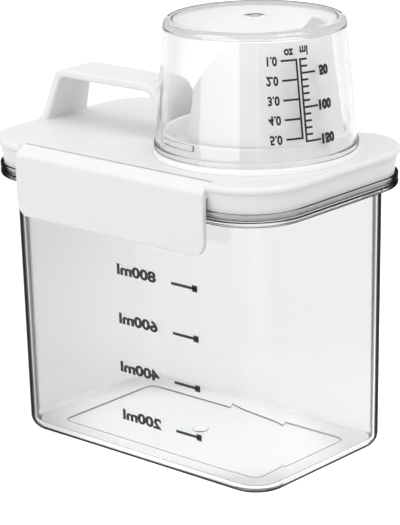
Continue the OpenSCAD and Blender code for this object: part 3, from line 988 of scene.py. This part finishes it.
class DISPENSER_OT_cup(bpy.types.Operator):
    """Makes the clear measuring cup, upside down over the spout, with its grip pads and gate mark"""

    bl_idname = "dispenser.cup"
    bl_label = "Measuring cup"

    def execute(self, context):
        sizes = context.scene.dispenser_cup
        low = CUP_LOW.z
        top = CUP_HIGH.z
        edge = sizes.edge
        gate = sizes.gate
        flange_out = CUP_HIGH.x - CUP_X
        flange = low + sizes.flange
        roof = top - sizes.wall
        path = rounded_path([
            (0, top, 0),
            (gate / 2, top, 0),
            (gate, top - sizes.gate_depth, edge / 2),
            (2 * gate, top, gate),
            (sizes.crown, top, sizes.crown_edge),
            (sizes.mouth, flange, edge),
            (flange_out, flange, edge),
            (flange_out, low, edge),
            (cup_wall(low) - sizes.wall, low, edge),
            (cup_wall(roof) - sizes.wall, roof, sizes.inner_edge),
            (0, roof, 0),
        ])
        piece = make_object("clear_cup", lathe(path, CUP_X))
        pad_low = low + sizes.pad_up
        pad_high = pad_low + sizes.pad_height
        pad_in = context.scene.dispenser_spout.neck + sizes.pad_gap
        pad_out = cup_wall(pad_low) - sizes.wall / 2
        pad = rounded_path([
            (pad_in, pad_low, edge),
            (pad_out, pad_low, 0),
            (pad_out, pad_high, 0),
            (pad_in, pad_high, edge),
        ], closed=True)
        for start in (sizes.pad_from, sizes.pad_from + HALF_TURN):
            ring = lathe(pad, CUP_X, closed=True)
            for turn, facing in ((start, -1), (start + sizes.pad_turn, 1)):
                slice_off(ring, (CUP_X, 0, 0), facing * Vector((-math.sin(turn), math.cos(turn), 0)))
            bmesh.ops.holes_fill(ring, edges=ring.edges)
            bmesh.ops.recalc_face_normals(ring, faces=ring.faces)
            combine(piece, ring, "UNION")
        mark_turned(piece, self.roundness)
        settle(piece, finish_of(clear_moulded_polystyrene), "cup", "clear_plastic", "measuring_cup")
        piece.visible_shadow = False
        return {"FINISHED"}

    def roundness(self, place, way, level):
        """Painted edge shade: less than full on the wall and none on the closed end and its edge."""
        return CUP_SHARE * rise(level, *CUP_LEVELS)


class DISPENSER_OT_latches(bpy.types.Operator):
    """Makes the two latches with their barrels, pins and hooks"""

    bl_idname = "dispenser.latches"
    bl_label = "Latches"

    def execute(self, context):
        sizes = context.scene.dispenser_latch
        for name, node, body, side in (("front_latch_moulding", "front_latch", "front_flap", -1),
                                       ("rear_latch_moulding", "rear_latch", "rear_flap", 1)):
            piece = self.latch(name, sizes, side)
            soften(piece, sizes.edge)
            settle(piece, finish_of(white_moulded_polypropylene), body, "white_plastic", node)
        return {"FINISHED"}

    def latch(self, name, sizes, side):
        """One latch as a solid, on the side of the box at -Y or +Y."""
        reach = HINGE.y - LATCH_LOW.y
        span = LATCH_HIGH.x - LATCH_LOW.x
        length = span - 2 * sizes.pin_length
        inner = reach - sizes.plate
        bottom = LATCH_LOW.z - HINGE.z
        barrel = sizes.barrel

        def placed(points):
            """Points of (out, up) from the hinge, put on this latch's side."""
            return [(side * (abs(HINGE.y) + out), HINGE.z + up) for out, up in points]

        shoulder_up = (barrel - reach * math.sin(sizes.slope)) / math.cos(sizes.slope)
        first = RIGHT_ANGLE - sizes.slope
        turn = 3 * RIGHT_ANGLE - first
        steps = 4 * ARC_STEPS
        turns = [first + turn * step / steps for step in range(steps + 1)]
        section = [Vector((barrel * math.cos(at), barrel * math.sin(at))) for at in turns]
        section += rounded_path([
            (*section[-1], 0),
            (inner, -barrel, sizes.edge),
            (inner, bottom, sizes.edge),
            (reach, bottom, sizes.plate / 2),
            (reach, shoulder_up, sizes.shoulder),
            (*section[0], 0),
        ])[1:-1]
        piece = make_object(name, prism(placed(section), length + 2 * OVER))
        face = rounded_path([
            (-length / 2, LID_HIGH.z, 0),
            (-length / 2, LATCH_LOW.z, sizes.corner),
            (length / 2, LATCH_LOW.z, sizes.corner),
            (length / 2, LID_HIGH.z, 0),
        ], closed=True)
        outline = prism(face, 2 * LATCH_HIGH.x)
        bmesh.ops.rotate(outline, verts=outline.verts, matrix=Matrix.Rotation(RIGHT_ANGLE, 3, "Z"))
        combine(piece, outline, "INTERSECT")
        tip = inner - sizes.rim_gap - sizes.hook_bite
        hook_top = box_top() - sizes.hook_gap - HINGE.z
        nose = hook_top - sizes.hook_nose
        root = inner + sizes.plate / 2
        hook = [(root, hook_top), (tip, hook_top), (tip, nose), (root, nose - sizes.hook_slope)]
        combine(piece, prism(placed(hook), length - 2 * sizes.hook_end), "UNION")
        combine(piece, level_cylinder(side * abs(HINGE.y), HINGE.z, span, sizes.pin, PIN_STEPS), "UNION")
        return piece


# Prints
def lettering(text, height, film, bold):
    """Lettering as a thin closed mesh with capitals of a height, its strokes bolder by a share of that."""
    words = bpy.data.curves.new("lettering", "FONT")
    words.body = text
    words.size = height / CAP_SHARE
    words.offset = height * bold
    words.extrude = film / 2
    words.resolution_u = LETTER_STEPS
    sample = bpy.data.objects.new("lettering", words)
    bpy.context.scene.collection.objects.link(sample)
    bpy.context.view_layer.update()
    mesh = bpy.data.meshes.new_from_object(sample.evaluated_get(bpy.context.evaluated_depsgraph_get()))
    bpy.data.objects.remove(sample)
    bpy.data.curves.remove(words)
    return mesh


def add_words(bm, text, height, film, stretch, middle, left=None, right=None, bold=BOLD_SHARE):
    """Adds lettering to a flat print, with its left or right end at a place and its middle at a height."""
    mesh = lettering(text, height, film, bold)
    mesh.transform(Matrix.Diagonal((stretch, 1, 1, 1)))
    xs = [vert.co.x for vert in mesh.vertices]
    ys = [vert.co.y for vert in mesh.vertices]
    across = left - min(xs) if left is not None else right - max(xs)
    mesh.transform(Matrix.Translation((across, middle - (min(ys) + max(ys)) / 2, 0)))
    bm.from_mesh(mesh)
    bpy.data.meshes.remove(mesh)


def add_bar(bm, low, high, film, cuts=0):
    """Adds a flat bar to a print between two corners, cut across so that it can follow a curve."""
    middle = ((low[0] + high[0]) / 2, (low[1] + high[1]) / 2, 0)
    scale = Matrix.Diagonal((high[0] - low[0], high[1] - low[1], film, 1))
    verts = bmesh.ops.create_cube(bm, size=1, matrix=Matrix.Translation(middle) @ scale)["verts"]
    if cuts:
        across = {edge for vert in verts for edge in vert.link_edges
                  if abs(edge.verts[0].co.x - edge.verts[1].co.x) > MERGE}
        bmesh.ops.subdivide_edges(bm, edges=list(across), cuts=cuts, use_grid_fill=True)


def settle_print(name, bm, body):
    """Makes a piece of a print that has been laid on its wall."""
    bmesh.ops.recalc_face_normals(bm, faces=bm.faces)
    settle(make_object(name, bm), finish_of(pad_printed_ink), body, "print_ink")


class DISPENSER_OT_box_scale(bpy.types.Operator):
    """Prints the volume scale on the front of the box"""

    bl_idname = "dispenser.box_scale"
    bl_label = "Box scale"

    def execute(self, context):
        sizes = context.scene.dispenser_print
        film = sizes.film
        half = sizes.box_line / 2
        knob = sizes.box_knob
        marks = 4
        mark_volume = 200
        # Places across the print
        bar_out = -36.4 * MM
        bar_in = -23.3 * MM
        words_left = -15.5 * MM
        words_up = 0.5 * MM
        bm = bmesh.new()
        for mark in range(marks):
            height = sizes.box_first + mark * sizes.box_step
            add_bar(bm, (bar_out, height - half), (bar_in, height + half), film)
            add_bar(bm, (bar_out, height - knob / 2), (bar_out + knob, height + knob / 2), film)
            add_words(bm, f"{mark_volume * (mark + 1)}ml", sizes.box_height, film, sizes.box_stretch,
                      height + words_up, left=words_left, bold=BOX_BOLD)
        facing = -1 if sizes.mirrored else 1
        for vert in bm.verts:
            across, height, depth = vert.co
            vert.co = (facing * across, -box_wall(height) - depth - film / 2, height)
        settle_print("box_scale_print", bm, "box")
        return {"FINISHED"}


class DISPENSER_OT_cup_scale(bpy.types.Operator):
    """Prints the two volume scales on the cup, which read upright when the cup stands on its closed end"""

    bl_idname = "dispenser.cup_scale"
    bl_label = "Cup scale"

    def execute(self, context):
        sizes = context.scene.dispenser_print
        film = sizes.film
        half = sizes.cup_line / 2
        stretch = sizes.cup_stretch
        ounces = 5
        first_ml = 30
        step_ml = 10
        steps_ml = 12
        named_ml = 50
        cuts = 3
        # Places across the print and up from the closed end of the cup
        rail = 0.75 * MM
        first = 10.4 * MM
        ounce = 7.23 * MM
        ten_ml = 2.53 * MM
        long_tick = 6.1 * MM
        short_tick = 2.8 * MM
        ounce_words = -8.2 * MM
        ml_words = 13.2 * MM
        ounce_unit = -1.7 * MM
        ml_unit = 0.9 * MM
        unit_middle = 7.3 * MM
        unit_height = 3.3 * MM
        bm = bmesh.new()
        add_bar(bm, (-rail - half, first - half), (-rail + half, first + (ounces - 1) * ounce + half), film)
        add_bar(bm, (rail - half, first - half), (rail + half, first + steps_ml * ten_ml + half), film)
        for mark in range(ounces):
            height = first + mark * ounce
            add_bar(bm, (-rail - long_tick, height - half), (-rail, height + half), film, cuts)
            add_words(bm, f"{mark + 1}.0", sizes.cup_height, film, stretch, height, right=ounce_words)
        for mark in range(steps_ml + 1):
            height = first + mark * ten_ml
            amount = first_ml + step_ml * mark
            tick = short_tick if amount % named_ml else long_tick
            add_bar(bm, (rail, height - half), (rail + tick, height + half), film, cuts)
            if not amount % named_ml:
                add_words(bm, str(amount), sizes.cup_height, film, sizes.ml_stretch, height, right=ml_words,
                          bold=ML_BOLD)
        add_words(bm, "oz", unit_height, film, stretch, unit_middle, right=ounce_unit)
        add_words(bm, "ml", unit_height, film, stretch, unit_middle, left=ml_unit)
        facing = 1 if sizes.mirrored else -1
        for vert in bm.verts:
            across, up, depth = vert.co
            across += (up - first) * math.tan(sizes.cup_lean)
            height = CUP_HIGH.z - up
            radius = cup_wall(height) + depth + film / 2
            turn = sizes.cup_turn + facing * across / cup_wall(CUP_HIGH.z - first)
            vert.co = (CUP_X + radius * math.cos(turn), radius * math.sin(turn), height)
        settle_print("cup_scale_print", bm, "cup")
        return {"FINISHED"}


class DISPENSER_OT_stage(bpy.types.Operator):
    """Makes the floor, the lamps, the world and the camera"""

    bl_idname = "dispenser.stage"
    bl_label = "Stage"

    def execute(self, context):
        scene = context.scene
        sizes = scene.dispenser_stage
        bm = bmesh.new()
        bmesh.ops.create_grid(bm, x_segments=1, y_segments=1, size=FLOOR_HALF,
                              matrix=Matrix.Translation((0, 0, -FLOOR_GAP)))
        floor = make_object("studio_floor", bm)
        floor.data.materials.append(finish_of(opal_acrylic_light_table))
        floor.visible_diffuse = False
        for name, spread, place, aim in LAMPS:
            self.lamp(f"{name}_lamp", getattr(sizes, name), spread, place, Vector(aim))
        world = bpy.data.worlds.new("studio_world")
        world.use_nodes = True
        tree = world.node_tree
        way = add_node(tree, "TexCoord").outputs["Generated"]
        height = add_node(tree, "SeparateXYZ", inputs={0: way})
        glow = add_node(tree, "MapRange", inputs={
            "Value": height.outputs["Z"], "From Min": 0.0, "From Max": 1.0,
            "To Min": WORLD_LOW, "To Max": WORLD_HIGH})
        set_sockets(tree, tree.nodes["Background"], {
            "Color": (1, 1, 1, 1), "Strength": glow.outputs["Result"]})
        scene.world = world
        scene.view_settings.view_transform = "Standard"
        camera = bpy.data.cameras.new("photo_camera")
        camera.sensor_width = PHOTO_LONG_SIDE
        camera.lens = sizes.lens
        camera.shift_x = sizes.shift_x
        camera.shift_y = sizes.shift_y
        eye = bpy.data.objects.new("photo_camera", camera)
        turn = Matrix.Rotation(sizes.azimuth, 4, "Z") @ Matrix.Rotation(RIGHT_ANGLE - sizes.elevation, 4, "X")
        eye.matrix_world = Matrix.Translation(sizes.eye) @ turn @ Matrix.Rotation(sizes.roll, 4, "Z")
        scene.collection.objects.link(eye)
        scene.camera = eye
        return {"FINISHED"}

    def lamp(self, name, watts, spread, place, aim):
        """A soft lamp of the given width and height that faces a point."""
        light = bpy.data.lights.new(name, "AREA")
        light.shape = "RECTANGLE"
        light.energy = watts
        light.size, light.size_y = spread
        lamp = bpy.data.objects.new(name, light)
        lamp.location = place
        lamp.rotation_euler = (aim - lamp.location).to_track_quat("-Z", "Y").to_euler()
        bpy.context.scene.collection.objects.link(lamp)


class DISPENSER_PT_panel(bpy.types.Panel):
    """Lists the pieces of the dispenser"""

    bl_idname = "DISPENSER_PT_panel"
    bl_label = "Detergent dispenser"
    bl_space_type = "VIEW_3D"
    bl_region_type = "UI"
    bl_category = "Dispenser"

    def draw(self, context):
        for piece in PIECES:
            self.layout.operator(piece.bl_idname)


GROUPS = {
    "dispenser_box": DispenserBox,
    "dispenser_lid": DispenserLid,
    "dispenser_latch": DispenserLatch,
    "dispenser_spout": DispenserSpout,
    "dispenser_cup": DispenserCup,
    "dispenser_print": DispenserPrint,
    "dispenser_finish": DispenserFinish,
    "dispenser_stage": DispenserStage,
}
PIECES = (
    DISPENSER_OT_stage,
    DISPENSER_OT_clear_box,
    DISPENSER_OT_lid,
    DISPENSER_OT_handle,
    DISPENSER_OT_seal,
    DISPENSER_OT_spout,
    DISPENSER_OT_cup,
    DISPENSER_OT_latches,
    DISPENSER_OT_box_scale,
    DISPENSER_OT_cup_scale,
)


def register():
    """Registers the classes and puts the sizes on the scene."""
    for name, group in GROUPS.items():
        bpy.utils.register_class(group)
        setattr(bpy.types.Scene, name, PointerProperty(type=group))
    for piece in PIECES:
        bpy.utils.register_class(piece)
    bpy.utils.register_class(DISPENSER_PT_panel)


def unregister():
    """Takes the classes and the sizes away again."""
    bpy.utils.unregister_class(DISPENSER_PT_panel)
    for piece in reversed(PIECES):
        bpy.utils.unregister_class(piece)
    for name, group in reversed(GROUPS.items()):
        delattr(bpy.types.Scene, name)
        bpy.utils.unregister_class(group)


def main():
    """Builds every piece in order."""
    register()
    for piece in PIECES:
        group, name = piece.bl_idname.split(".")
        getattr(getattr(bpy.ops, group), name)()


if __name__ == "__main__":
    main()
